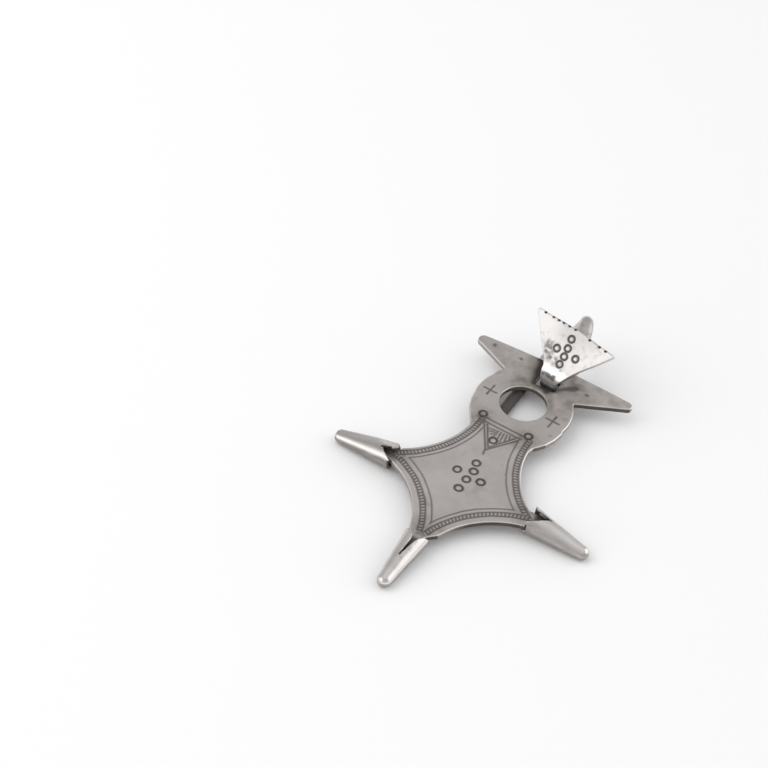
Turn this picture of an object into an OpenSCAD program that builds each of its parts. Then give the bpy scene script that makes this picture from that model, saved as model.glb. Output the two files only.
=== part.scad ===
// Ear drop: a flat pierced cross with three rolled cones, hung from a hook with a triangular head.
// It lies face up. Z is up from the surface, Y points to the horns, the origin is below its middle.

/* [Cross plate] */
// Thickness of the plate
plate_t = 1.1; // [1:0.05:1.2]
// Outer radius of the ring
ring_r = 9.65; // [9.55:0.05:9.75]
// Radius of the round hole
hole_r = 4.6; // [4.2:0.1:4.8]
// Reach of the left horn from the middle
horn_left = 16.1; // [15.7:0.1:16.5]
// Reach of the right horn from the middle
horn_right = 17.65; // [17.3:0.05:18]
// Depth of the engraved lines and stamps
engrave_d = 0.22; // [0.15:0.01:0.3]

/* [Rolled cones] */
// Outer radius of a cone at its blunt end
end_r = 1.37; // [1.3:0.01:1.42]
// Length from mouth to the centre of the blunt end
cone_l = 11.1; // [10.8:0.1:11.4]
// Thickness of the rolled sheet
sheet_t = 0.65; // [0.6:0.01:0.68]
// How far the rolled sheet reaches back over the plate
lip_l = 0.8; // [0.6:0.1:1]

/* [Ear hook] */
// Half the width of the triangular head
head_half = 9.15; // [9:0.05:9.3]
// Length of the triangular head from the slot
head_l = 12.2; // [12:0.1:12.4]
// Radius of the leg's blunt end
tip_r = 0.75; // [0.65:0.05:0.85]

/* [Hidden] */
$fn = 96;
silver = [0.72, 0.7, 0.68];
middle = [-0.45, 14.68, 0];
swell = 0.03;
lap = 0.3;

plate_tilt = 1.4;
plate_up = 0.75;
ring_at = [0.05, -0.3];
hole_x = -0.1;
lozenge_x = 0.45;
foot_x = -0.05;
mouth_r = 2.7;
foot_r = 2.45;
side_mouth_x = 14;
side_mouth_y = -25.7;
right_mouth_y = -24.7;
foot_mouth_y = -40.1;
side_turn = 1.8;
back_x = -0.1;
slot_l = 0.55;
seat_gap = 0.18;
slot_gap = 0.16;
slot_side = 1.6;
left_v = [
  [-0.93, -2.8],
  [0.26, -2.12],
  [1.12, -1.58],
  [1.9, -0.85],
  [0.99, -0.8],
  [0.03, -0.51],
  [-0.83, -0.04],
  [-0.7, 0.6],
  [-0.3, 1.4],
  [0, 2.2],
  [0.1, 3]
];
right_v = [
  [-0.72, -2.8],
  [0.24, -2.02],
  [1.68, -1.11],
  [3.57, 0.61],
  [2.47, 0.39],
  [1.36, 0.39],
  [0.23, 1.11],
  [-0.05, 1.6],
  [-0.15, 2.2],
  [-0.15, 3]
];
foot_v = [
  [0.3, -3],
  [0, -2.2],
  [0.34, -1.46],
  [1.46, -0.26],
  [2.35, 0],
  [3.77, -0.05],
  [6, -0.22],
  [6, -0.02],
  [4.38, 0.3],
  [2.57, 0.65],
  [1.54, 1.07],
  [0.67, 1.66],
  [0.07, 2.24],
  [-0.75, 2.9]
];
plate_lift = mouth_r + plate_up - side_mouth_y * sin(plate_tilt);

crown = [0.6, 13.05];
crown_r = 220;
tip_left_r = 1.2;
tip_left = [-horn_left + tip_left_r, 11.3];
tip_right_r = 1.03;
tip_right = [horn_right - tip_right_r, 11.4];
upper_c = [24.67, -8.94];
upper_r = 18.5;
lower_c = [[19.2, -44.15], [19.6, -44.15]];
lower_r = 17.6;

slot_x = 1.18;
slot_w = 4.36;
slot_y = [6.15, 9.15];

band_out = [0.55, 0.95, 1.5];
band_in = [1.5, 1.85, 2.45];
rule_in = [2.3, 3, 3.3];
line_w = 0.26;
stamp_r = 0.95;
head_stamp_r = 0.82;
stamp_w = 0.3;
nick = 0.32;

neck_at = [1.2, 6.1];
neck_above = 0.5;
flat_from = 2.6;
head_t = 1.2;
neck_w = 3;
wire_r = 1.1;
head_tilt = 51.4;
head_yaw = 12;
curl_drop = 1.8;
hook_z = plate_lift + neck_at[1] * sin(plate_tilt) + neck_above;
flat_s = flat_from * cos(head_tilt);
flat_z = hook_z + flat_from * sin(head_tilt);
bridge_y = 10.5;
curl_low = plate_lift + bridge_y * sin(plate_tilt) - curl_drop - head_t / 2;
curl_r = (flat_z - curl_low) / (1 + cos(head_tilt));
curl_s = flat_s + curl_r * sin(head_tilt);
curl_z = curl_low + curl_r;
dip = 7;
run_l = 3.8;
run_s = curl_s - curl_r * sin(dip);
run_z = curl_z - curl_r * cos(dip);
turn_r = 1.9;
turn_s = run_s + run_l * cos(dip) + turn_r * sin(dip);
turn_z = run_z - run_l * sin(dip) + turn_r * cos(dip);
rise = 80;
rise_s = turn_s + turn_r * sin(rise);
rise_z = turn_z - turn_r * cos(rise);
crest = [3.1, 17.2, 12.3];
crest_way = [-0.3, 0.93, 0.25];
behind = [0.2, 22, 7.6];
behind_way = [-0.42, -0.1, -0.9];
leg_top = [-3.55, 15.2, wire_r + swell];
leg_foot = [-3.25, -10, wire_r + swell];
taper_l = 4.6;
tip_l = 0.75;

// A point of the hook's side plane, s along its foot line and z up, as a point in space.
function hook_point(s, z) = [
  neck_at[0] + s * sin(head_yaw),
  neck_at[1] + s * cos(head_yaw),
  z
];

function unit(v) = v / norm(v);

// The angles that turn the axes onto the three unit vectors x, y and z.
function turned(x, y, z) = [atan2(y[2], z[2]), -asin(x[2]), atan2(x[1], x[0])];

// The direction at q of the arc that leaves p along t and ends at q.
function way_out(p, t, q) = 2 * ((q - p) * t) / ((q - p) * (q - p)) * (q - p) - t;

// The point where two arcs meet that lead from p along t to q along w.
function meeting(p, t, q, w) =
  let (v = q - p, k = 2 * (1 - t * w), m = v * (t + w))
  let (d = (sqrt(m * m + k * (v * v)) - m) / k)
  (p + q + d * (t - w)) / 2;

module seated() {
  translate([0, 0, plate_lift]) rotate([plate_tilt, 0, 0]) translate([0, 0, -plate_t]) children();
}

// The points of an arc about c from angle a to angle b in n steps.
function arc(c, r, a, b, n) = [
  for (i = [0:n])
    let (turn = a + (b - a) * i / n)
    c + r * [cos(turn), sin(turn)]
];

// The height of the slightly bowed crown at x.
function crown_at(x) = crown[1] - pow(x - crown[0], 2) / (2 * crown_r);

module horns_2d() {
  polygon(concat(
    [for (x = [13.5:-3:-13.5]) [x, crown_at(x)]],
    arc(tip_left, tip_left_r, 94, 244, 9),
    [[-7.72, 6.54], [-8.6, 4.5], [-9, 2.6], [0, 0], [9, 2.2], [8.95, 3.6], [7.87, 5.57]],
    arc(tip_right, tip_right_r, -62, 86, 9)
  ));
}

// The shoulders between the ring and the lozenge.
module shoulders_2d() {
  polygon([
    [-8.7, -1.6],
    [-9.3, -3],
    [-9.05, -4.43],
    [-8.4, -6.3],
    [-7.2, -8.2],
    [-6.2, -9.8],
    [-5.9, -10.8],
    [-5.3, -12],
    [6.2, -12],
    [6.75, -10.7],
    [6.95, -9.5],
    [7.47, -8.79],
    [8.56, -7.21],
    [9.35, -5.06],
    [9.72, -2.9],
    [9.3, -1]
  ]);
}

// The end of the plate that lies in a side cone, drawn for the right one.
module corner_2d(y) {
  translate([side_mouth_x, y]) {
    polygon([
      [-1.6, 0.1],
      [-0.65, 1.25],
      [0.4, 1.4],
      [1.4, 1.2],
      [2.6, 0.95],
      [3, 0.5],
      [3, -0.5],
      [2.6, -1],
      [1.4, -1.4],
      [0.4, -1.66],
      [0.1, -1.75],
      [-1.6, -1.6]
    ]);
  }
}

module lozenge_2d() {
  f = foot_x - lozenge_x;
  difference() {
    polygon([
      [-6.9, -7.3],
      [6.9, -7.3],
      [13.4, -23.5],
      [13.9, -25],
      [13.9, -27.1],
      [13.5, -27.7],
      [f + 2.25, -39.1],
      [f + 1.5, -40],
      [f + 1.35, -40.6],
      [f + 0.95, -43],
      [f + 0.5, -43.6],
      [f - 0.5, -43.6],
      [f - 0.95, -43],
      [f - 1.35, -40.6],
      [f - 1.5, -40],
      [f - 2.25, -39.1],
      [-13.5, -27.7],
      [-13.9, -27.1],
      [-13.9, -25],
      [-13.4, -23.5]
    ]);
    hollow_sides([0, 0, 0]);
  }
  corner_2d(right_mouth_y);
  translate([side_mouth_x, right_mouth_y]) {
    polygon([[-1, -1], [0.2, -1], [0.3, -2.6], [-0.4, -2.85], [-1, -2.5]]);
  }
  mirror([1, 0]) corner_2d(side_mouth_y);
}

// The circles whose arcs are the lozenge's hollow sides, grown by d: above, below left and below right.
module hollow_sides(d) {
  for (side = [0, 1]) {
    mirror([side, 0]) {
      translate(upper_c) circle(r = upper_r + d[0]);
      translate(lower_c[side]) circle(r = lower_r + d[2 - side]);
    }
  }
}

module slot_2d() {
  translate([slot_x, (slot_y[0] + slot_y[1]) / 2]) square([slot_w, slot_y[1] - slot_y[0]], center = true);
}

// A line that follows the four hollow sides at distance d inside the edge.
module side_line(d, top_y, half_x, foot_y) {
  intersection() {
    difference() {
      hollow_sides(d + [line_w, line_w, line_w]);
      hollow_sides(d);
    }
    polygon([
      [-half_x, -25.5],
      [-5.4, top_y],
      [5.4, top_y],
      [half_x, -24.9],
      [0, foot_y]
    ]);
  }
}

module ring_stamp(at, r = stamp_r) {
  translate(at) {
    difference() {
      circle(r = r);
      circle(r = r - stamp_w);
    }
  }
}

module plus_mark(at) {
  translate(at) {
    square([2.7, line_w], center = true);
    square([line_w, 2.7], center = true);
  }
}

module stroke(a, b, w) {
  d = b - a;
  translate(a) rotate(atan2(d[1], d[0])) translate([0, -w / 2]) square([norm(d), w]);
}

module engraving_2d() {
  translate([lozenge_x, 0]) {
    side_line(band_out, -8.5, 13.2, -39.4);
    side_line(band_in, -8.6, 12.3, -38.2);
    side_line(rule_in, -9.3, 10.2, -36);
  }
  for (at = [[-5.1, -6.9], [4.8, -7.15], [-0.15, -12]]) ring_stamp(at);
  for (at = [[0.1, -18.9], [0.7, -21], [0.55, -23.5], [0.45, -26.2]]) ring_stamp(at);
  for (at = [[-2.05, -22.3], [3.05, -22.6]]) ring_stamp(at);
  plus_mark([-7.05, -0.5]);
  plus_mark([6.7, -0.9]);
  stroke([-4, -7.5], [3.9, -7.8], line_w);
  stroke([-4.4, -8.5], [4.1, -8.8], line_w);
  stroke([-3.1, -8.9], [-0.1, -14.1], line_w);
  stroke([3, -9.2], [0, -14.1], line_w);
  stroke([-3.8, -8.9], [-0.4, -14.6], line_w);
  stroke([3.8, -9.2], [-0.1, -14.9], line_w);
  stroke([-0.4, -14.5], [0, -16.2], line_w);
  for (i = [0:3]) stroke([-2.5 + 0.55 * i, -9.7 - 0.55 * i], [-0.4, -9.4 - 0.45 * i], 0.18);
  for (i = [0:3]) stroke([0.1 + 0.6 * i, -9.2], [0.45 + 0.6 * i, -12.6 + 0.85 * i], 0.18);
}

module cross_plate() {
  color(silver) translate(middle) seated() {
    difference() {
      union() {
        translate(ring_at) cylinder(h = plate_t, r = ring_r);
        linear_extrude(plate_t) horns_2d();
        linear_extrude(plate_t) shoulders_2d();
        translate([lozenge_x, 0, 0]) linear_extrude(plate_t) lozenge_2d();
      }
      translate([hole_x, 0, -1]) cylinder(h = plate_t + 2, r = hole_r);
      translate([0, 0, -1]) linear_extrude(plate_t + 2) slot_2d();
      translate([0, 0, plate_t - engrave_d]) linear_extrude(1) engraving_2d();
    }
  }
}

// The gap between the two rounded flaps of the rolled sheet, from above, v_shape leading round its point.
module between_flaps_2d(v_shape) {
  out = -lip_l - 1.5;
  polygon(concat([[out, v_shape[0][1]]], v_shape, [[out, v_shape[len(v_shape) - 1][1]]]));
}

// A hollow cone about X with its mouth at the origin, drooping so that it lies along the surface.
// Only what lies over the plate, whose top is top_z above the axis, reaches back past back_x.
module rolled_cone(r, v_shape, top_z) {
  slope = (r - end_r) / cone_l;
  wide = 2 * r + 2;
  difference() {
    rotate([0, asin(slope), 0]) {
      difference() {
        union() {
          translate([-lip_l, 0, 0]) rotate([0, 90, 0]) {
            cylinder(h = cone_l + lip_l, r1 = r + lip_l * slope, r2 = end_r);
          }
          translate([cone_l, 0, 0]) sphere(r = end_r);
        }
        translate([-lip_l - 0.01, 0, 0]) rotate([0, 90, 0]) {
          cylinder(h = cone_l + lip_l - 0.4, r1 = r + lip_l * slope - sheet_t, r2 = end_r - sheet_t);
        }
        linear_extrude(r + 1) between_flaps_2d(v_shape);
      }
    }
    translate([back_x - wide, -wide / 2, top_z + seat_gap - wide]) cube(wide);
  }
}

// How far the plate's top lies above the axis of a cone of radius r that lies on the surface.
function over_axis(r, y) = plate_lift + y * sin(plate_tilt) - axis_z(r);
function axis_z(r) = r / sqrt(1 - pow((r - end_r) / cone_l, 2));

// The right cone has a slot in its near side, where the plate's lower edge lies in the wall.
module cone_right() {
  top_z = over_axis(mouth_r, right_mouth_y);
  color(silver) translate(middle + [lozenge_x + side_mouth_x, right_mouth_y, axis_z(mouth_r)]) {
    rotate([0, 0, -side_turn]) difference() {
      rolled_cone(mouth_r, right_v, top_z);
      translate([slot_l - mouth_r, -2 * mouth_r + slot_side, top_z - plate_t - seat_gap]) {
        cube([mouth_r, mouth_r, plate_t + seat_gap + slot_gap]);
      }
    }
  }
}

module cone_left() {
  color(silver) translate(middle + [lozenge_x - side_mouth_x, side_mouth_y, axis_z(mouth_r)]) {
    mirror([1, 0, 0]) rotate([0, 0, -side_turn]) {
      rolled_cone(mouth_r, left_v, over_axis(mouth_r, side_mouth_y));
    }
  }
}

module cone_bottom() {
  color(silver) translate(middle + [foot_x, foot_mouth_y, axis_z(foot_r)]) {
    rotate([0, 0, -90]) rolled_cone(foot_r, foot_v, over_axis(foot_r, foot_mouth_y));
  }
}

// Places a piece drawn in the hook's side plane, x along its foot line and y up, thickness along z.
module in_side_plane() {
  translate([neck_at[0], neck_at[1], 0]) rotate([0, 0, 90 - head_yaw]) rotate([90, 0, 0]) children();
}

// A nick in the head's upper edge, at a point given from the head's length.
module nick_2d(at) {
  translate([at[0], head_l + at[1]]) rotate(45) square(nick, center = true);
}

module head_2d() {
  difference() {
    polygon([
      [-2.2, flat_from - lap],
      [-2.3, 3.4],
      [-3.2, 4.8],
      [-5.85, 7.6],
      [-head_half + 0.05, head_l - 0.65],
      [-head_half - 0.15, head_l - 0.25],
      [-head_half + 0.15, head_l + 0.05],
      [-6.2, head_l + 0.1],
      [-2.8, head_l + 0.3],
      [0.6, head_l + 0.45],
      [3.4, head_l + 0.2],
      [head_half - 0.6, head_l],
      [head_half - 0.1, head_l - 0.1],
      [head_half, head_l - 0.45],
      [7.1, 8.95],
      [4.75, 6],
      [3.5, 4.1],
      [2.9, 3],
      [2.55, flat_from - lap]
    ]);
    for (at = [[-7.5, -0.1], [-5.55, -0.02], [-4.25, 0.05], [-3.1, 0.12], [-1.7, 0.19]]) nick_2d(at);
    for (at = [[-0.3, 0.25], [3.3, 0.04], [5.7, -0.06], [7.2, -0.12]]) nick_2d(at);
  }
}

module head() {
  translate([neck_at[0], neck_at[1], hook_z]) rotate([0, 0, -head_yaw]) rotate([head_tilt, 0, 0]) {
    difference() {
      translate([0, 0, -head_t / 2 - swell]) linear_extrude(head_t + 2 * swell) head_2d();
      translate([0, 0, head_t / 2 - engrave_d]) linear_extrude(1) {
        for (at = [[0.05, 10.5], [0.35, 8.6], [0.55, 6.9], [0.55, 5.2], [-1.65, 7.5], [2.8, 7.7]]) {
          ring_stamp(at, head_stamp_r);
        }
      }
    }
  }
}

// The flattened neck: curls from the head down through the slot and under the plate's bridge.
module curl() {
  intersection() {
    in_side_plane() {
      translate([curl_s, curl_z, 0]) rotate(90 + head_tilt) {
        rotate_extrude(angle = 180 - head_tilt - dip) {
          translate([curl_r, 0]) square([head_t, 5.1], center = true);
        }
      }
    }
    translate([neck_at[0], neck_at[1], 0]) rotate([0, 0, -head_yaw]) rotate([90, 0, 0]) {
      translate([0, 0, -10]) linear_extrude(20) {
        polygon([
          [-2.35, flat_z + 0.8],
          [-2.15, flat_z],
          [-neck_w / 2, hook_z],
          [-neck_w / 2, 0],
          [neck_w / 2, 0],
          [neck_w / 2, hook_z],
          [2.5, flat_z],
          [2.7, flat_z + 0.8]
        ]);
      }
    }
  }
}

module under_run() {
  in_side_plane() {
    translate([run_s, run_z, 0]) rotate(-dip) translate([-lap, -head_t / 2 - swell, -neck_w / 2 - swell]) {
      cube([run_l + lap + wire_r, head_t + 2 * swell, neck_w + 2 * swell]);
    }
  }
}

module turn_up() {
  in_side_plane() {
    translate([turn_s, turn_z, 0]) rotate(-90 - dip) {
      rotate_extrude(angle = rise + dip) translate([turn_r, 0]) circle(r = wire_r);
    }
  }
}

// Round wire along the arc that leaves p along t and ends at q.
module bent_wire(p, t, q) {
  v = q - p;
  side = v - (v * t) * t;
  bend_r = (v * v) / (2 * norm(side));
  x = -unit(side);
  translate(p - bend_r * x) rotate(turned(x, t, cross(x, t))) {
    rotate_extrude(angle = 2 * atan2(norm(side), v * t)) translate([bend_r, 0]) circle(r = wire_r);
  }
}

// Round wire along two arcs, from p along t to q along w, with a slight swelling at each join.
module double_bend(p, t, q, w) {
  m = meeting(p, t, q, w);
  bent_wire(p, t, m);
  bent_wire(m, way_out(p, t, m), q);
  for (at = [p, m, q]) translate(at) sphere(r = wire_r + swell);
}

// The straight leg with its tapered, blunt end.
module leg() {
  way = leg_foot - leg_top;
  straight = norm(way);
  end = straight + taper_l;
  translate(leg_top) rotate([90, 0, atan2(way[1], way[0]) + 90]) rotate_extrude() {
    polygon([
      [0, 0],
      [wire_r, 0],
      [wire_r, straight],
      [tip_r, end],
      [tip_r * 0.9, end + tip_l * 0.45],
      [tip_r * 0.62, end + tip_l * 0.8],
      [0, end + tip_l]
    ]);
  }
}

module ear_hook() {
  foot = hook_point(rise_s, rise_z);
  foot_way = [cos(rise) * sin(head_yaw), cos(rise) * cos(head_yaw), sin(rise)];
  leg_way = unit(leg_foot - leg_top);
  color(silver) translate(middle) union() {
    head();
    curl();
    under_run();
    turn_up();
    double_bend(foot, foot_way, crest, unit(crest_way));
    double_bend(crest, unit(crest_way), behind, unit(behind_way));
    double_bend(behind, unit(behind_way), leg_top, leg_way);
    leg();
  }
}

cross_plate();
cone_left();
cone_right();
cone_bottom();
ear_hook();
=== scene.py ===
import math
import bpy
import bmesh
import numpy as np
from mathutils import Matrix, Vector


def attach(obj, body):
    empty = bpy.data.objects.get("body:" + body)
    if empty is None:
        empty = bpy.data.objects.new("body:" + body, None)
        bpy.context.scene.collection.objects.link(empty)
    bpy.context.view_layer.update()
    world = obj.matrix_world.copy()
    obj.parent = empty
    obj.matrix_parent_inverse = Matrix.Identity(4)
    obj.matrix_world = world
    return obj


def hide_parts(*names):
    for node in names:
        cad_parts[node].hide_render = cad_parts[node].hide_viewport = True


# An ear drop of aged silver that lies on a pale table. Shapes are worked in millimetres in each
# piece's own flat frame, then set into place in metres.

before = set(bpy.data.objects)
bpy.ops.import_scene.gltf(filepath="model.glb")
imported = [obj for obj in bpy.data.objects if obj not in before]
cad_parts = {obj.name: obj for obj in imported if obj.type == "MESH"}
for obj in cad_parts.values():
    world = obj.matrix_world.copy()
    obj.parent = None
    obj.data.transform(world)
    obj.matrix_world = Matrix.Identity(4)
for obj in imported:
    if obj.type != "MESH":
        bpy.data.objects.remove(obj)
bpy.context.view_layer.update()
mm = 0.001
print("stage: frame loaded")

place = {
    "middle": (-0.45, 14.68),   # the ring's centre, seen from above
    "plateTilt": 1.4,
    "plateLift": 4.0779,        # the plate's top at the ring's centre
    "headTilt": 51.4,
    "headYaw": 12.0,
    "neckAt": (1.2, 6.1),       # where the head's own frame starts, from the ring's centre
    "neckZ": 4.7269,
}


def moved(x, y, z):
    return Matrix.Translation((x, y, z))


def turned(degrees, axis):
    return Matrix.Rotation(math.radians(degrees), 4, axis)


toMiddle = moved(place["middle"][0], place["middle"][1], 0)
plateFrame = toMiddle @ moved(0, 0, place["plateLift"]) @ turned(place["plateTilt"], "X")
headFrame = (toMiddle @ moved(place["neckAt"][0], place["neckAt"][1], place["neckZ"])
             @ turned(-place["headYaw"], "Z") @ turned(place["headTilt"], "X"))


# Mesh helpers.

def linked(name, bm):
    mesh = bpy.data.meshes.new(name)
    bm.to_mesh(mesh)
    bm.free()
    piece = bpy.data.objects.new(name, mesh)
    bpy.context.scene.collection.objects.link(piece)
    return piece


def solidOf(nodeName, ownFrame):
    bm = bmesh.new()
    bm.from_mesh(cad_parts[nodeName].data)
    bmesh.ops.transform(bm, matrix=ownFrame.inverted() @ Matrix.Scale(1 / mm, 4), verts=bm.verts)
    bmesh.ops.remove_doubles(bm, verts=bm.verts, dist=0.002)
    bmesh.ops.recalc_face_normals(bm, faces=bm.faces)
    return bm


def applied(piece):
    shown = piece.evaluated_get(bpy.context.evaluated_depsgraph_get())
    mesh = bpy.data.meshes.new_from_object(shown)
    piece.modifiers.clear()
    piece.data = mesh


def evenSkin(piece, voxel):
    skin = piece.modifiers.new("evenSkin", "REMESH")
    skin.mode = "VOXEL"
    skin.voxel_size = voxel
    skin.use_smooth_shade = True
    applied(piece)


def pointsOf(mesh):
    values = np.empty(len(mesh.vertices) * 3)
    mesh.vertices.foreach_get("co", values)
    return values.reshape(-1, 3)


def normalsOf(mesh):
    values = np.empty(len(mesh.vertices) * 3)
    mesh.vertices.foreach_get("normal", values)
    return values.reshape(-1, 3)


def setPoints(mesh, points):
    mesh.vertices.foreach_set("co", points.ravel())
    mesh.update()


def edgesOf(mesh):
    values = np.empty(len(mesh.edges) * 2, dtype=np.int64)
    mesh.edges.foreach_get("vertices", values)
    return values.reshape(-1, 2)


def averaged(values, edges, rounds):
    count = np.bincount(edges.ravel(), minlength=len(values)).clip(1)
    values = values.copy()
    for _ in range(rounds):
        if values.ndim == 1:
            near = np.bincount(edges[:, 0], values[edges[:, 1]], len(values))
            near += np.bincount(edges[:, 1], values[edges[:, 0]], len(values))
            values = 0.5 * values + 0.5 * near / count
        else:
            for k in range(3):
                near = np.bincount(edges[:, 0], values[edges[:, 1], k], len(values))
                near += np.bincount(edges[:, 1], values[edges[:, 0], k], len(values))
                values[:, k] = 0.5 * values[:, k] + 0.5 * near / count
    return values


def inScene(points, ownFrame):
    return points @ np.array(ownFrame.to_3x3()).T + np.array(ownFrame.translation)


# Patterns over a surface, each a value at every point.

def waves(points, size, seed):
    q = points / size + seed * 17.31
    cell = np.floor(q)
    f = q - cell
    f = f * f * (3 - 2 * f)
    total = np.zeros(len(points))
    for dx in (0, 1):
        for dy in (0, 1):
            for dz in (0, 1):
                c = cell + (dx, dy, dz)
                h = np.sin(c @ (12.9898, 78.233, 37.719)) * 43758.5453
                h = h - np.floor(h)
                w = (f[:, 0] if dx else 1 - f[:, 0]) * (f[:, 1] if dy else 1 - f[:, 1])
                total += h * w * (f[:, 2] if dz else 1 - f[:, 2])
    return total * 2 - 1


def rippled(points, ripples, seed=0):
    return sum(height * waves(points, size, seed + own) for height, size, own in ripples)


def bell(distance, width):
    return np.exp(-(distance / width) ** 2)


def step(low, high, values):
    t = np.clip((values - low) / (high - low), 0, 1)
    return t * t * (3 - 2 * t)


def fall(low, high, values):
    return 1 - step(low, high, values)


def spread(where, distance, strength, full, gone):
    return where * strength * fall(full, gone, distance)


def toStroke(x, y, a, b):
    ax, ay = a
    dx, dy = b[0] - ax, b[1] - ay
    t = np.clip(((x - ax) * dx + (y - ay) * dy) / (dx * dx + dy * dy), 0, 1)
    return np.hypot(x - ax - t * dx, y - ay - t * dy)


def strongest(*layers):
    total = layers[0]
    for layer in layers[1:]:
        total = np.maximum(total, layer)
    return total


def setTint(mesh, name, values):
    layer = mesh.attributes.new(name, "FLOAT", "POINT")
    layer.data.foreach_set("value", np.clip(values, 0, 1).astype(np.float32))


def settled(piece, ownFrame, node):
    piece.data.transform(Matrix.Scale(mm, 4) @ ownFrame)
    for face in piece.data.polygons:
        face.use_smooth = True
    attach(piece, "root")
    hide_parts(node)


# Shader helpers.

class Wire:
    def __init__(self, tree, socket):
        self.tree = tree
        self.socket = socket

    def maths(self, operation, *others):
        node = self.tree.nodes.new("ShaderNodeMath")
        node.operation = operation
        for k, value in enumerate((self,) + others):
            if isinstance(value, Wire):
                self.tree.links.new(value.socket, node.inputs[k])
            else:
                node.inputs[k].default_value = value
        return Wire(self.tree, node.outputs[0])

    def __add__(self, other):
        return self.maths("ADD", other)

    def __sub__(self, other):
        return self.maths("SUBTRACT", other)

    def __mul__(self, other):
        return self.maths("MULTIPLY", other)

    def __rsub__(self, other):
        return (self * -1) + other

    def between(self, low, high):
        return ((self - low) * (1 / (high - low))).maths("MAXIMUM", 0.0).maths("MINIMUM", 1.0)

    __radd__ = __add__
    __rmul__ = __mul__


class Finish:
    def __init__(self, owner):   # a new material, or the world
        owner.use_nodes = True
        self.owner = owner
        self.tree = owner.node_tree
        self.tree.nodes.clear()

    def node(self, kind, settings=None, **values):
        node = self.tree.nodes.new(kind)
        for key, value in (settings or {}).items():
            setattr(node, key, value)
        for key, value in values.items():   # i6 stands for input 6, Base_Color for Base Color
            socket = node.inputs[int(key[1:])] if key[1:].isdigit() else node.inputs[key.replace("_", " ")]
            if isinstance(value, Wire):
                self.tree.links.new(value.socket, socket)
            else:
                socket.default_value = value
        return node

    def wire(self, node, output=0):
        return Wire(self.tree, node.outputs[output])

    def shown(self, shader, kind="ShaderNodeOutputMaterial"):
        self.node(kind, None, Surface=self.wire(shader))
        return self.owner

    def tint(self, name):
        return self.wire(self.node("ShaderNodeAttribute", {"attribute_name": name}), "Fac")

    def mixed(self, factor, first, second):
        node = self.node("ShaderNodeMix", {"data_type": "RGBA"}, i0=factor, i6=first, i7=second)
        return self.wire(node, 2)

    def grain(self, where, scale, detail):
        node = self.node("ShaderNodeTexNoise", {"noise_dimensions": "3D"}, Vector=where, Scale=scale,
                         Detail=detail, Roughness=0.55)
        return self.wire(node, "Fac")


silverTones = {
    "plate": {"bright": (0.572, 0.53, 0.515, 1), "dull": (0.478, 0.438, 0.424, 1),
              "rough": 0.34, "bump": 0.12},
    "cone": {"bright": (0.59, 0.56, 0.545, 1), "dull": (0.45, 0.42, 0.405, 1),
             "rough": 0.2, "bump": 0.1},
    "hook": {"bright": (0.63, 0.612, 0.6, 1), "dull": (0.51, 0.49, 0.477, 1),
             "rough": 0.26, "bump": 0.1},
    # The bright tone paints rubbed wear and painted highlights. The near-black paints real oxide and
    # painted shade, and the brown paints tarnish and painted shade. The green paints tarnish, and beside
    # the head a painted dark reflection.
    "wornAndHighlight": (0.88, 0.865, 0.85, 1),
    "oxideAndShade": (0.012, 0.010, 0.011, 1),
    "brown": (0.10, 0.078, 0.062, 1),
    "green": (0.17, 0.155, 0.11, 1),
    "cover": {"dull": 0.8, "wornAndHighlight": 0.9, "green": 0.75, "brown": 0.9},
    "rougher": {"grain": 0.12, "patch": 0.06, "oxideAndShade": 0.3, "brown": 0.2, "green": 0.16, "wornAndHighlight": 0.1},
    "roughLimits": (0.12, 0.85),
    "lessMetal": {"oxideAndShade": 0.75, "brown": 0.45, "most": 0.9},
    "relief": {"grain": 0.35, "scratch": 0.3},
    "patchScale": 160.0,
    "patchLimits": (0.35, 0.68),
    "grainScale": 1400.0,
    "scratchScale": (260.0, 3600.0, 900.0),
    "scratchTurn": (0.0, 0.0, 0.5),
    "bumpHeight": 0.00004,
}


def silver(name, tones):
    f = Finish(bpy.data.materials.new(name))
    cover = silverTones["cover"]
    rougher = silverTones["rougher"]
    lessMetal = silverTones["lessMetal"]
    relief = silverTones["relief"]
    where = f.wire(f.node("ShaderNodeTexCoord"), "Object")
    broad = f.grain(where, silverTones["patchScale"], 3.0).between(*silverTones["patchLimits"])
    fine = f.grain(where, silverTones["grainScale"], 4.0)
    drawn = f.node("ShaderNodeMapping", None, Vector=where, Rotation=silverTones["scratchTurn"],
                   Scale=silverTones["scratchScale"])
    scratch = f.grain(f.wire(drawn), 1.0, 2.0)
    oxideAndShade = f.tint("oxideAndShade")
    brown = f.tint("brown")
    green = f.tint("green")
    wornAndHighlight = f.tint("wornAndHighlight")
    tone = f.mixed(broad * cover["dull"], tones["bright"], tones["dull"])
    tone = f.mixed(wornAndHighlight * cover["wornAndHighlight"], tone, silverTones["wornAndHighlight"])
    tone = f.mixed(green * cover["green"], tone, silverTones["green"])
    tone = f.mixed(brown * cover["brown"], tone, silverTones["brown"])
    tone = f.mixed(oxideAndShade, tone, silverTones["oxideAndShade"])
    rough = (fine - 0.5) * rougher["grain"] + (broad * rougher["patch"] + tones["rough"])
    rough = rough + oxideAndShade * rougher["oxideAndShade"] + brown * rougher["brown"] + green * rougher["green"]
    rough = rough - wornAndHighlight * rougher["wornAndHighlight"]
    smoothest, roughest = silverTones["roughLimits"]
    rough = rough.maths("MAXIMUM", smoothest).maths("MINIMUM", roughest)
    height = fine * relief["grain"] + scratch * relief["scratch"]
    bump = f.node("ShaderNodeBump", None, Strength=tones["bump"], Distance=silverTones["bumpHeight"],
                  Height=height)
    covered = oxideAndShade * lessMetal["oxideAndShade"] + brown * lessMetal["brown"]
    metal = 1.0 - covered.maths("MINIMUM", lessMetal["most"])
    shader = f.node("ShaderNodeBsdfPrincipled", None, Base_Color=tone, Roughness=rough, Metallic=metal,
                    Normal=f.wire(bump))
    return f.shown(shader)


# The plate.

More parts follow.
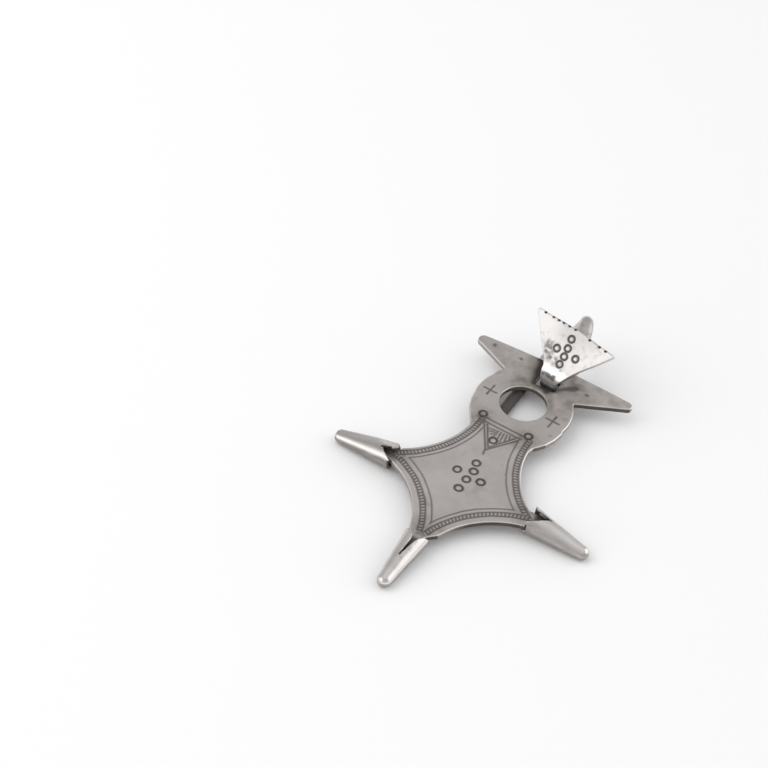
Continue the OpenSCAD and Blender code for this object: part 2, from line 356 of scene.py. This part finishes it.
plate = {
    "thick": 1.1,
    "voxel": 0.149,
    "round": 0.15,
    "midX": 0.45,
    # The centre and radius of each hollow side, and its border's two lines, from the plate's edge.
    "hollows": {"upperLeft": (24.67, -8.94, 18.5), "upperRight": (24.67, -8.94, 18.5),
                "lowerLeft": (19.2, -44.15, 17.6), "lowerRight": (19.6, -44.15, 17.6)},
    "bands": {"upperLeft": (0.68, 1.63), "upperRight": (0.55, 1.55), "lowerLeft": (1.08, 1.98),
              "lowerRight": (1.63, 2.58)},
    "rules": {"upperLeft": 2.43, "upperRight": 2.75, "lowerLeft": 3.13, "lowerRight": 3.43},
    "bandEnds": {"top": (-8.0, -7.5), "Left": -25.5, "Right": -24.9, "foot": (-39.6, -39.0)},
    "ruleEnds": {"top": (-9.4, -9.1), "upper": (-25.2, -25.0), "lower": (-25.1, -24.9),
                 "foot": (-37.0, -36.8)},
    "ruleReach": 11.4,
    "ticks": {"step": 0.68, "wide": 0.17, "deep": 0.1, "ink": 1.35, "darkest": 0.92,
              "beadWide": 0.2, "beadHigh": 0.04},
    "cuts": {
        "band": {"deep": 0.09, "wide": 0.14, "ink": 1.25, "inkWide": 0.17, "darkest": 0.9},
        "rule": {"deep": 0.07, "wide": 0.13, "ink": 1.15, "inkWide": 0.15, "darkest": 0.85},
        "stroke": {"deep": 0.08, "wide": 0.0, "ink": 1.5, "inkWide": 0.05, "darkest": 0.88},
    },
    "ring": {"core": 0.5, "outer": 0.95, "deep": 0.16, "dome": 0.06},
    "stamps": [(-5.1, -6.9), (4.8, -7.15), (-0.15, -12), (0.1, -18.9), (0.7, -21), (0.55, -23.5),
               (0.45, -26.2), (-2.05, -22.3), (3.05, -22.6)],
    "strokes": [
        ((-8.4, -0.5), (-5.7, -0.6), 0.14), ((-7.1, -1.9), (-6.95, 1.0), 0.13),
        ((5.3, -0.9), (8.1, -1.0), 0.14), ((6.65, -2.7), (6.8, 0.5), 0.13),
        ((-4.1, -7.5), (3.9, -7.8), 0.12), ((-4.4, -8.5), (4.1, -8.8), 0.12),
        ((-3.1, -8.9), (-0.1, -14.1), 0.12), ((3, -9.2), (0, -14.1), 0.12),
        ((-3.8, -8.9), (-0.4, -14.6), 0.12), ((3.8, -9.2), (-0.1, -14.9), 0.12),
        ((-0.4, -14.5), (0, -16.2), 0.13),
    ],
    "hammer": ((0.022, 5.5, 1), (0.010, 2.1, 2)),   # height, size and seed of each ripple
    "wallRipples": ((0.012, 1.6, 4),),
    "pits": {"deep": 0.25, "rare": 0.72},
    "neck": (1.4, 7.3),                             # where the hook goes through
    "neckWallWithin": 3.6,
    "unwornWithin": 3.4,
    "leftOfHead": ((-0.6, 6.6), (-2.6, 12.9)),
    "rightOfHead": ((2.9, 6.6), (6.4, 9.6)),
    "spots": [(-12.3, 11.0, 0.5), (9.0, 9.2, 0.35), (2.9, 9.3, 0.4), (8.2, -4.6, 0.3), (-6.2, 10.6, 0.4)],
    "stains": [(-12.9, -25.2), (13.4, -24.8), (0.1, -38.6), (4.6, -8.6), (-5.0, -8.2)],
    "stainWide": 2.6,
    "holeWallWithin": 5.2,
    # Where the plate runs under the cones' flaps it gets a painted shadow, from clear to dark between these
    # limits.
    "shadowUnderCones": {"right": (14.3, 15.2), "left": (15.4, 16.0), "bottom": (-41.4, -40.4)},   # clear to dark
    # Of these strengths, those for the neck, beside the head, the shaded walls and under the cones paint
    # shade. Beside the head on the left they also paint the head's dark reflection, in green too. The cuts,
    # specks, spots, stains, patches and the horns' green are tarnish. The hole's wall is darker and
    # browner.
    "oxideAndShade": {"cuts": 0.87, "neck": (0.92, 1.6, 3.3), "leftOfHead": (0.92, 0.4, 1.7),
              "rightOfHead": (0.7, 0.2, 1.0), "specks": 0.5, "spots": 0.75, "shadedWall": 0.6,
              "holeWall": 0.55, "shadowUnderCones": 0.8, "stains": 0.35},
    "green": {"neck": (1.0, 4.0, 10.5), "patches": 0.5, "leftOfHead": (0.85, 0.6, 4.2)},
    "brown": {"holeWall": 0.95, "underside": 0.2},
    "wornAndHighlight": 0.9,
}
for k in range(4):   # the hatching of the small triangle
    plate["strokes"].append(((-2.5 + 0.55 * k, -9.7 - 0.55 * k), (-0.4, -9.4 - 0.45 * k), 0.09))
    plate["strokes"].append(((0.1 + 0.6 * k, -9.2), (0.45 + 0.6 * k, -12.6 + 0.85 * k), 0.09))


def engraved(deep, dark, off, cut, on=1.0, width=0.0):
    bite = cut["deep"] * bell(off, width + cut["wide"])
    ink = np.clip(cut["ink"] * bell(off, width + cut["inkWide"]), 0, cut["darkest"])
    return np.maximum(deep, bite * on), np.maximum(dark, ink * on)


def ringStamps(x, y, centres, ring, deep, dark):
    core, outer = ring["core"], ring["outer"]
    for k, (cx, cy) in enumerate(centres):
        r = np.hypot((x - cx) * (1 + 0.05 * math.sin(3 * k)), y - cy)   # no two quite alike
        groove = step(core - 0.1, core + 0.08, r) * fall(outer - 0.12, outer + 0.06, r)
        ink = step(core - 0.12, core + 0.06, r) * fall(outer - 0.04, outer + 0.12, r)
        deep = np.maximum(deep, ring["deep"] * groove) - ring["dome"] * np.clip(1 - (r / core) ** 2, 0, 1)
        dark = np.maximum(np.where(r < outer, 0.0, dark), ink)
    return deep, dark


def plateCuts(x, y):
    flat = np.stack((x, y, np.zeros_like(x)), 1)
    wobble = 0.05 * waves(flat, 1.7, 3)
    deep = np.zeros_like(x)
    dark = np.zeros_like(x)
    bandEnds = plate["bandEnds"]
    ruleEnds = plate["ruleEnds"]
    cuts = plate["cuts"]
    ticks = plate["ticks"]
    for side in (-1, 1):
        u = (x - plate["midX"]) * side
        hand = "Right" if side > 0 else "Left"
        corner = bandEnds[hand]
        for level in ("upper", "lower"):
            cx, cy, r = plate["hollows"][level + hand]
            first, second = plate["bands"][level + hand]
            rho = np.hypot(u - cx, y - cy) - r + wobble
            along = np.arctan2(y - cy, u - cx) % (2 * math.pi) * (r + 1.2)
            if level == "upper":
                on = step(corner - 0.4, corner, y) * fall(*bandEnds["top"], y)
                onRule = step(*ruleEnds["upper"], y) * fall(*ruleEnds["top"], y) * (u < plate["ruleReach"])
            else:
                on = fall(corner - 0.4, corner, y) * step(*bandEnds["foot"], y) * (u > -0.5)
                onRule = fall(*ruleEnds["lower"], y) * step(*ruleEnds["foot"], y) * (u > -0.2)
                onRule = onRule * (u < plate["ruleReach"])
            for line in (first, second):
                deep, dark = engraved(deep, dark, rho - line, cuts["band"], on)
            deep, dark = engraved(deep, dark, rho - plate["rules"][level + hand], cuts["rule"], onRule)
            between = step(first - 0.05, first + 0.1, rho) * fall(second - 0.1, second + 0.05, rho) * on
            phase = along / ticks["step"] + 0.12 * waves(flat, 2.3, 8 + side) + 0.25 * (rho - first)
            off = ((phase % 1.0) - 0.5) * ticks["step"]
            tick = bell(off, ticks["wide"]) * between
            bead = (1 - bell(off, ticks["beadWide"])) * between
            deep = np.maximum(deep, ticks["deep"] * tick) - ticks["beadHigh"] * bead
            dark = np.maximum(dark, np.clip(ticks["ink"] * tick, 0, ticks["darkest"]))
            dark = np.maximum(dark, (0.16 + 0.2 * waves(flat, 1.1, 9)) * between)
    for a, b, width in plate["strokes"]:
        off = toStroke(x, y, a, b) + wobble * 0.6
        deep, dark = engraved(deep, dark, off, cuts["stroke"], width=width)
    return ringStamps(x, y, plate["stamps"], plate["ring"], deep, dark)


def blankPlate():   # the solid's outline with a plain top, so that finer cuts can go into it
    bm = solidOf("cross_plate", plateFrame)
    bmesh.ops.bisect_plane(bm, geom=bm.verts[:] + bm.edges[:] + bm.faces[:], dist=1e-5,
                           plane_co=(0, 0, -plate["thick"] / 2), plane_no=(0, 0, 1), clear_outer=True)
    rim = [e for e in bm.edges if e.is_boundary]
    grown = bmesh.ops.extrude_edge_only(bm, edges=rim)["geom"]
    top = [g for g in grown if isinstance(g, bmesh.types.BMVert)]
    bmesh.ops.translate(bm, verts=top, vec=(0, 0, plate["thick"] / 2))
    topSet = set(top)
    rim = [e for e in bm.edges if e.is_boundary and e.verts[0] in topSet and e.verts[1] in topSet]
    bmesh.ops.triangle_fill(bm, use_beauty=True, use_dissolve=False, edges=rim, normal=(0, 0, 1))
    bmesh.ops.recalc_face_normals(bm, faces=bm.faces)
    sharp = [e for e in bm.edges if len(e.link_faces) == 2 and e.calc_face_angle(0) > 1.0
             and abs(e.verts[0].co.z - e.verts[1].co.z) < 0.01]
    bmesh.ops.bevel(bm, geom=sharp, offset=plate["round"], offset_type="OFFSET", affect="EDGES", segments=3,
                    profile=0.5, material=-1, clamp_overlap=False, loop_slide=True)
    return linked("crossPlate", bm)


crossPlate = blankPlate()
evenSkin(crossPlate, plate["voxel"])
p = pointsOf(crossPlate.data)
n = normalsOf(crossPlate.data)
x, y, z = p.T   # the columns of p, which follow its later changes
up = step(0.55, 0.85, n[:, 2]) * (z > -0.45)
deep, dark = plateCuts(x, y)
pits = np.clip(waves(p, 0.55, 5) - plate["pits"]["rare"], 0, 1) * plate["pits"]["deep"]
pits = pits * step(0.2, 0.6, waves(p, 6.0, 6))
p[:, 2] += up * (rippled(p, plate["hammer"]) - deep - pits)
p += n * (1 - up)[:, None] * rippled(p, plate["wallRipples"])[:, None]
setPoints(crossPlate.data, p)

# Where the plate's tarnish gathers, and where shade is painted on: around the hook's neck and on its slot's
# walls, beside the head, with the head's dark reflection painted on the left, on the walls that face down
# and to the right, and under the cones' flaps. The hole's wall is darker and browner. Wall is the plate's
# narrow side, and shaded is the part of it that faces down and to the right.
fromNeck = np.hypot(x - plate["neck"][0], y - plate["neck"][1])
# Distances from two lines beside the head. Painted shade goes along both, and on the left also the head's
# painted dark reflection.
leftOfHead = toStroke(x, y, *plate["leftOfHead"]) + 0.3 * waves(p, 1.2, 17)
rightOfHead = toStroke(x, y, *plate["rightOfHead"]) + 0.3 * waves(p, 1.2, 18)
wall = fall(0.3, 0.75, np.abs(n[:, 2]))
shaded = step(0.4, 0.7, -n[:, 1]) * step(-0.15, 0.2, n[:, 0])
inHole = np.hypot(x, y) < plate["holeWallWithin"]
# Painted shadow where the plate runs under the cones' flaps.
rightCone = step(*plate["shadowUnderCones"]["right"], x - plate["midX"])
leftCone = step(*plate["shadowUnderCones"]["left"], plate["midX"] - x)
inCone = np.maximum(strongest(rightCone, leftCone) * (y < -20), fall(*plate["shadowUnderCones"]["bottom"], y))
specks = np.clip(waves(p, 0.5, 5) - 0.6, 0, 1)
mottle = step(0.1, 0.5, waves(p, 6.0, 6))
tarnishAndShade = plate["oxideAndShade"]
oxideAndShade = strongest(
    tarnishAndShade["cuts"] * dark * up,
    # Painted shade on the top around the hook's neck, under the hanging head.
    spread(up, fromNeck + 0.9 * waves(p, 1.4, 11), *tarnishAndShade["neck"]),
    # Painted shade beside the head, with the head's painted dark reflection on the left.
    spread(up, leftOfHead, *tarnishAndShade["leftOfHead"]),
    spread(up, rightOfHead, *tarnishAndShade["rightOfHead"]),
    up * tarnishAndShade["specks"] * specks * 2.5 * mottle,
    # Painted shade on the walls that face down and to the right.
    wall * tarnishAndShade["shadedWall"] * shaded,
    wall * tarnishAndShade["holeWall"] * inHole,
    # Painted shadow under the cones' flaps.
    tarnishAndShade["shadowUnderCones"] * inCone,
)
for cx, cy, r in plate["spots"]:
    spot = bell(np.hypot(x - cx, y - cy) + 0.2 * waves(p, 0.5, 19), r)
    oxideAndShade = np.maximum(oxideAndShade, up * tarnishAndShade["spots"] * spot)
greens = plate["green"]
onHorns = up * step(3.5, 8.0, y) * (0.16 + 0.34 * waves(p, 1.9, 21) + 0.2 * waves(p, 0.7, 22))
green = strongest(
    spread(up, fromNeck, *greens["neck"]) * step(-0.2, 0.7, waves(p, 2.4, 12) + 0.3 * waves(p, 0.8, 13)),
    greens["patches"] * up * step(0.15, 0.75, waves(p, 1.3, 14)) * step(0.0, 0.6, waves(p, 5.0, 15)),
    # The head's painted dark reflection, greenish, on the left of the head.
    spread(up, leftOfHead + 0.5 * waves(p, 1.0, 25), *greens["leftOfHead"]),
    np.clip(onHorns, 0, 1),
)
for cx, cy in plate["stains"]:
    darkening = bell(np.hypot(x - cx, y - cy), plate["stainWide"]) * (0.65 + 0.35 * waves(p, 0.9, 23))
    green = np.maximum(green, up * darkening)
    oxideAndShade = np.maximum(oxideAndShade, up * tarnishAndShade["stains"] * darkening * step(-0.3, 0.4, waves(p, 0.5, 24)))
brown = strongest(
    # Brown on every wall, with more added as painted shade on the walls that face down and to the right.
    wall * np.clip(0.5 + 0.5 * shaded + 0.15 * waves(p, 2.0, 16), 0, 1),
    wall * plate["brown"]["holeWall"] * inHole,
    # Painted shade on the walls of the hook's slot.
    wall * (fromNeck < plate["neckWallWithin"]),
    plate["brown"]["underside"] * step(0.4, 0.9, -n[:, 2]),
)
# The top rim's bright band along the bevel is partly rubbed wear and partly a painted highlight.
edge = step(0.42, 0.62, n[:, 2]) * fall(0.85, 0.985, n[:, 2])
wornAndHighlight = edge * (z > -0.4) * (z < 0.1) * (fromNeck >= plate["unwornWithin"])
setTint(crossPlate.data, "oxideAndShade", oxideAndShade)
setTint(crossPlate.data, "green", green)
setTint(crossPlate.data, "brown", brown)
setTint(crossPlate.data, "wornAndHighlight", wornAndHighlight * plate["wornAndHighlight"] * (1 - dark))
settled(crossPlate, plateFrame, "cross_plate")
crossPlate.data.materials.append(silver("plateSilver", silverTones["plate"]))
print("stage: plate", len(crossPlate.data.polygons), "faces")

# The rolled cones.

cone = {
    "voxel": 0.11,
    "end": 1.37,
    "long": 11.1,
    "ripples": ((0.025, 2.6, 0), (0.014, 1.1, 1)),   # height, size and seed of each ripple
    # Near-black painted shade goes inside the hollow cone and at its mouth, and brown painted shade goes on
    # skin that faces down.
    "oxideAndShade": {"inside": 0.95, "mouth": 0.8},
    "brown": {"below": 0.6, "patches": 0.5},
    "green": 0.3,
    "rim": 0.5,
    # At, turn and mouth place a cone, and slit is in its own frame. The darkening, a painted shade and dark
    # reflection, is on the side that shadeSide names by axis and sign, where the skin faces up less than
    # edge, and the ridge highlight is the painted bright line above it. The painted brightness is how much
    # brighter all of it is painted, pressed how flat its flap is, and the top shade how much painted shade
    # dulls its top.
    "seats": {
        "cone_right": {"at": (14.45, -24.7), "turn": -1.8, "mouth": 2.7, "slit": ((0.4, 0.6), (3.7, 0.6)),
                       "shadeSide": (1, -1), "edge": 0.66, "darkening": 0.5, "paintedBrightness": 0.3, "ridgeHighlight": 0.0,
                       "pressed": 0.0, "topShade": 0.0, "seed": 30},
        "cone_left": {"at": (-13.55, -25.7), "turn": 181.8, "mouth": 2.7,
                      "slit": ((0.2, 0.6), (2.1, 0.85)), "shadeSide": (1, -1), "edge": 0.3, "darkening": 0.75,
                      "paintedBrightness": 0.03, "ridgeHighlight": 0.9, "pressed": 0.34, "topShade": 0.4, "seed": 29},
        "cone_bottom": {"at": (-0.05, -40.1), "turn": -90.0, "mouth": 2.45,
                        "slit": ((3.3, 0.15), (6.1, -0.1)), "shadeSide": (0, 1), "edge": 0.2, "darkening": 0.5,
                        "paintedBrightness": 0.15, "ridgeHighlight": 0.9, "pressed": 0.0, "topShade": 0.0, "seed": 31},
    },
}
coneMaterial = silver("coneSilver", silverTones["cone"])

for nodeName, seat in cone["seats"].items():
    droop = math.asin((seat["mouth"] - cone["end"]) / cone["long"])
    ownFrame = (toMiddle @ moved(seat["at"][0], seat["at"][1], seat["mouth"] / math.cos(droop))
                @ turned(seat["turn"], "Z") @ turned(math.degrees(droop), "Y"))
    rolled = linked(nodeName.replace("cone_", "rolledCone."), solidOf(nodeName, ownFrame))
    evenSkin(rolled, cone["voxel"])
    edges = edgesOf(rolled.data)
    p = averaged(pointsOf(rolled.data), edges, 2)
    x, y, z = p.T
    if seat["pressed"]:
        flap = fall(0.5, 5.0, x) * step(-0.6, 0.9, -y) * np.clip(z - 0.94, 0, 9)
        p[:, 2] -= seat["pressed"] * flap
    setPoints(rolled.data, p)
    n = normalsOf(rolled.data)
    seed = seat["seed"]
    axial = np.hypot(y, z)
    skinR = seat["mouth"] + (cone["end"] - seat["mouth"]) * np.clip(x / cone["long"], -0.1, 1)
    inner = (n[:, 1] * y + n[:, 2] * z) / np.maximum(axial, 0.01) < -0.2
    inner = inner & (axial < skinR - 0.25) & (x < cone["long"])
    p += n * rippled(p, cone["ripples"], seed)[:, None] * (~inner)[:, None]
    setPoints(rolled.data, p)
    out = n @ np.array(ownFrame.to_3x3()).T
    axis, sign = seat["shadeSide"]
    nearSide = step(-0.15, 0.2, sign * out[:, axis])
    streaks = waves(p * (0.25, 1, 1), 0.5, seed + 7)
    low = fall(seat["edge"] - 0.12, seat["edge"] + 0.08, out[:, 2] + 0.07 * waves(p, 1.6, seed + 6))
    patches = step(0.45, 0.85, waves(p, 1.2, seed + 3)) * step(0.1, 0.6, waves(p, 4.0, seed + 4))
    # The flaps' lips near the mouth, where a painted highlight goes.
    rim = fall(0.05, 0.35, np.abs(axial - skinR + 0.3)) * (x < 4.4) * (z > 0)
    ridgeHighlight = bell(out[:, 2] - seat["edge"] - 0.16, 0.14) * nearSide
    slit = toStroke(x, y, *seat["slit"]) + 0.05 * waves(p, 0.7, seed + 8)
    # Painted shade inside the hollow, along the slit and at the mouth.
    oxideAndShade = strongest(
        averaged(cone["oxideAndShade"]["inside"] * inner, edges, 1),
        fall(0.08, 0.26, slit) * (z > 0),
        cone["oxideAndShade"]["mouth"] * fall(0.05, 0.3, x) * (z < 0.9),
    )
    # Painted shade and dark reflection on the near low side, painted shade on skin that faces down, and a
    # painted dull band on the top. The patches are tarnish.
    brown = strongest(
        seat["darkening"] * low * nearSide * (0.8 + 0.3 * streaks),
        cone["brown"]["below"] * fall(-0.2, 0.25, out[:, 2]),
        cone["brown"]["patches"] * patches,
        seat["topShade"] * step(0.62, 0.74, out[:, 2]) * (1 - 0.8 * step(0.84, 0.95, out[:, 2])),
    )
    green = cone["green"] * step(0.2, 0.8, waves(p, 3.0, seed + 5))
    # The lip rim and the ridge line are painted highlights, and the even part is each cone's painted
    # brightness.
    wornAndHighlight = strongest(cone["rim"] * rim, seat["ridgeHighlight"] * ridgeHighlight, seat["paintedBrightness"])
    setTint(rolled.data, "oxideAndShade", oxideAndShade)
    setTint(rolled.data, "brown", brown * (1 - oxideAndShade))
    setTint(rolled.data, "green", green * (1 - oxideAndShade))
    setTint(rolled.data, "wornAndHighlight", wornAndHighlight * (1 - oxideAndShade) * (1 - brown))
    settled(rolled, ownFrame, nodeName)
    rolled.data.materials.append(coneMaterial)
    print("stage:", nodeName, len(rolled.data.polygons), "faces")

# The ear hook.

hook = {
    "voxel": 0.125,
    "headThick": 1.2,
    "ring": {"core": 0.48, "outer": 0.82, "deep": 0.16, "dome": 0.06},
    "stamps": [(0.05, 10.5), (0.35, 8.6), (0.55, 6.9), (0.55, 5.2), (-1.65, 7.5), (2.8, 7.7)],
    "plug": {"r": 0.9, "deep": 0.5, "proud": 0.03},   # closes the solid's stamps for finer ones
    "hammer": ((0.02, 3.2, 31), (0.008, 1.3, 32)),    # height, size and seed of each ripple
    "worstDents": [(-3.5, 6.9), (-3.0, 6.0), (-1.9, 5.4), (-2.6, 6.7), (-3.5, 7.5), (-0.7, 5.2),
                   (0.8, 4.6)],
    "dentWide": 0.75,
    "dentDeep": 0.12,
    "nicks": [(-7.5, 12.1), (-5.55, 12.18), (-4.25, 12.25), (-3.1, 12.32), (-1.7, 12.39), (-0.3, 12.45),
              (3.3, 12.24), (5.7, 12.14), (7.2, 12.08)],
    "crest": {"at": (2.65, 31.9, 12.3), "across": (0.95, 0.3, 0.0), "within": 1.2, "wider": 0.32,
              "long": 3.6},
    # Limits in the shared frame: of the head, of the part in the slot, of the leg, and of what shows
    # of the leg in the plate's hole. Only left is in the head's own frame.
    "headTo": 32,
    "slotSpan": (19.5, 25.5),
    "leg": {"to": 24, "under": 2.4},
    "hole": {"from": 8.5, "to": 20.5, "left": -3.4},
    # Of these, slot, patch, throat and leg paint shadow, a dark reflection and shade, and seenInHole paints
    # shade with a lighter painted sheen on its left. The worn band paints a highlight. Cuts, dents, nicks
    # and the rest are tarnish and wear.
    "oxideAndShade": {"cuts": 0.86, "slot": 0.95, "patch": 0.75, "dents": 0.6, "leg": 0.55, "seenInHole": 0.62},
    "brown": {"back": 0.45, "wire": 0.25, "throat": 0.72, "crestSpots": 0.55, "crest": 0.3, "leg": 0.9},
    "green": {"wire": 0.35, "face": 0.22},
    "wornAndHighlight": {"edge": 0.5, "band": 0.9},
}


def blankHook():
    bm = solidOf("ear_hook", headFrame)
    plug = hook["plug"]
    for cx, cy in hook["stamps"]:
        middle = hook["headThick"] / 2 + plug["proud"] - plug["deep"] / 2
        bmesh.ops.create_cone(bm, cap_ends=True, segments=32, radius1=plug["r"], radius2=plug["r"],
                              depth=plug["deep"], matrix=moved(cx, cy, middle))
    return linked("earHook", bm)


earHook = blankHook()
evenSkin(earHook, hook["voxel"])
p = averaged(pointsOf(earHook.data), edgesOf(earHook.data), 2)
setPoints(earHook.data, p)
n = normalsOf(earHook.data)
x, y, z = p.T
face = step(0.6, 0.9, n[:, 2]) * (z > 0.2) * (z < 0.9) * step(1.6, 2.8, y)
deep, dark = ringStamps(x, y, hook["stamps"], hook["ring"], np.zeros_like(x), np.zeros_like(x))
dents = strongest(*[bell(np.hypot(x - cx, y - cy), hook["dentWide"]) for cx, cy in hook["worstDents"]])
dents = dents * step(-0.35, 0.25, waves(p, 0.55, 30)) * (1 - dark)
p[:, 2] += face * (rippled(p, hook["hammer"]) - deep - hook["dentDeep"] * dents)
p += n * ((1 - face) * 0.015 * waves(p, 1.9, 33))[:, None]

# The wire is a little wider and flatter on its crest behind the head.
crest = hook["crest"]
across = np.array(crest["across"])
where = inScene(p, headFrame) - crest["at"]
off = np.clip(where @ across, -crest["within"], crest["within"])
widened = crest["wider"] * off * bell(np.linalg.norm(where, axis=1), crest["long"])
p += widened[:, None] * (across @ np.array(headFrame.to_3x3()))
setPoints(earHook.data, p)

# Where the hook's tarnish gathers, and where light and shade are painted on the neck and leg: a painted
# shadow where the neck goes into the slot, a painted dark reflection band and painted shade below the bend,
# a painted highlight band above them, and painted shade on the leg under the plate.
spot = inScene(p, headFrame)
spotY = spot[:, 1]
spotZ = spot[:, 2]
slotFrom, slotTo = hook["slotSpan"]
onHead = (y > 2.2) & (np.abs(z) < 1.2)
facing = (z > 0) & (z < 1.6) & (spotY < hook["headTo"])
# The leg under the plate, which gets painted shade.
leg = (spotZ < hook["leg"]["under"]) & (spotY < hook["leg"]["to"])
ragged = waves(p, 0.6, 34)
nicks = strongest(*[fall(0.14, 0.3, np.hypot((x - cx) * 0.7, y - cy)) for cx, cy in hook["nicks"]])
# Painted shadow on the neck where it goes down into the slot.
inSlot = fall(0.2, 0.9, y + 0.15 * ragged) * (z > -4) * (spotY < slotTo) * (spotY > slotFrom)
# Painted dark reflection band across the neck.
patch = step(1.6, 1.95, y + 0.1 * ragged) * fall(2.5, 2.9, y - 0.15 * x) * fall(1.3, 1.8, np.abs(x + 0.2))
# The leg where the plate's hole shows it. It gets painted shade, lighter on its left as a painted sheen.
inHole = leg * (spotY > hook["hole"]["from"]) * (spotY < hook["hole"]["to"])
fromCrest = np.linalg.norm(spot - crest["at"], axis=1)
# Painted shade on the neck below the bend.
throat = fall(1.9, 2.4, y + 0.2 * ragged) * (y > -1.5) * facing
back = step(0.3, 0.8, -n[:, 2]) * onHead
blotch = step(0.1, 0.6, waves(p, 1.0, 38) + 0.4 * waves(p, 0.4, 40)) * face
tarnishAndShade = hook["oxideAndShade"]
oxideAndShade = strongest(
    tarnishAndShade["cuts"] * dark * face,
    nicks * (z > -0.7),
    tarnishAndShade["slot"] * inSlot * (~onHead),
    tarnishAndShade["patch"] * patch * facing * step(-0.7, 0.2, ragged),
    tarnishAndShade["dents"] * face * np.clip(1.3 * dents, 0, 1),
    tarnishAndShade["leg"] * leg * step(-0.5, 0.3, waves(p, 1.5, 37)),
    tarnishAndShade["seenInHole"] * inHole * step(-1.2, 0.6, x - hook["hole"]["left"]),
)
browns = hook["brown"]
brown = strongest(
    browns["back"] * back + browns["wire"] * (~onHead) * step(0.0, 0.8, waves(p, 2.5, 35)),
    browns["throat"] * throat,
    browns["crestSpots"] * bell(fromCrest, 3.4) * step(-0.1, 0.6, waves(p, 0.8, 39)),
    browns["crest"] * bell(fromCrest, 4.5),
    # Painted shade on the leg under the plate.
    browns["leg"] * leg,
)
green = np.maximum(hook["green"]["wire"] * step(0.1, 0.8, waves(p, 2.2, 36)) * (~onHead),
                   hook["green"]["face"] * blotch)
edge = step(0.2, 0.7, 1 - np.abs(n[:, 2])) * onHead * (z > 0.2)
# The head's edges are rubbed. The band across the neck is a painted highlight.
wornAndHighlight = np.maximum(edge * hook["wornAndHighlight"]["edge"], hook["wornAndHighlight"]["band"] * (bell(y - 3.3, 0.75) * facing))
setTint(earHook.data, "oxideAndShade", oxideAndShade)
setTint(earHook.data, "green", green)
setTint(earHook.data, "brown", brown)
setTint(earHook.data, "wornAndHighlight", wornAndHighlight * (1 - brown))
settled(earHook, headFrame, "ear_hook")
earHook.data.materials.append(silver("hookSilver", silverTones["hook"]))
print("stage: hook", len(earHook.data.polygons), "faces")

# The table.

tableTop = {"half": 2.5, "colour": (0.86, 0.86, 0.862, 1), "rough": 0.7}
table = bmesh.new()
bmesh.ops.create_grid(table, x_segments=2, y_segments=2, size=tableTop["half"])
floor = linked("table", table)
paint = Finish(bpy.data.materials.new("tableWhite"))
paper = paint.node("ShaderNodeBsdfPrincipled", None, Base_Color=tableTop["colour"],
                   Roughness=tableTop["rough"])
floor.data.materials.append(paint.shown(paper))

# The light: a broad weak lamp that the metal doesn't mirror, in an even room with three soft glows,
# in front on the left, behind on the right and above.

lamp = {"at": (-0.42, -0.2, 0.6), "size": 0.7, "watts": 2.0}
light = bpy.data.lights.new("key", "AREA")
light.shape = "SQUARE"
light.size = lamp["size"]
light.energy = lamp["watts"]
holder = bpy.data.objects.new("key", light)
holder.location = lamp["at"]
holder.rotation_euler = (-Vector(lamp["at"])).to_track_quat("-Z", "Y").to_euler()
holder.visible_glossy = False
bpy.context.scene.collection.objects.link(holder)

room = {
    "even": 0.68,
    "glows": [
        {"toward": (-0.55, -0.78, 0.32), "wide": (0.80, 0.93), "level": 0.95},
        {"toward": (0.765, 0.612, 0.3), "wide": (0.74, 0.9), "level": 1.0},
        {"toward": (0.0, 0.1, 1.0), "wide": (0.75, 0.97), "level": 0.22},
    ],
}
sky = Finish(bpy.data.worlds.new("studio"))
direction = sky.wire(sky.node("ShaderNodeTexCoord"), "Generated")


def along(toward):
    node = sky.node("ShaderNodeVectorMath", {"operation": "DOT_PRODUCT"}, i0=direction,
                    i1=Vector(toward).normalized())
    return sky.wire(node, "Value")


def eased(wire):
    return wire * wire * (3.0 - 2.0 * wire)


level = room["even"]
for each in room["glows"]:
    level = eased(along(each["toward"]).between(*each["wide"])) * each["level"] + level
glow = sky.node("ShaderNodeBackground", None, Color=(1.0, 1.0, 1.0, 1.0), Strength=level)
bpy.context.scene.world = sky.shown(glow, "ShaderNodeOutputWorld")
bpy.context.scene.view_settings.view_transform = "Standard"

# The camera.

view = {
    "at": (0.084466, -0.222514, 0.239239),
    "right": (0.85189, 0.51451, 0.0978),
    "down": (0.41623, -0.55178, -0.7227),
    "ahead": (-0.31787, 0.65637, -0.68421),
    "lens": 84.375,
    "film": 36.0,
    "nearest": 0.01,
}
lensData = bpy.data.cameras.new("camera")
lensData.sensor_width = view["film"]
lensData.lens = view["lens"]
lensData.clip_start = view["nearest"]
camera = bpy.data.objects.new("camera", lensData)
axes = Matrix((view["right"], [-v for v in view["down"]], [-v for v in view["ahead"]])).transposed()
camera.matrix_world = Matrix.Translation(view["at"]) @ axes.to_4x4()
bpy.context.scene.collection.objects.link(camera)
bpy.context.scene.camera = camera
print("stage: light and camera")
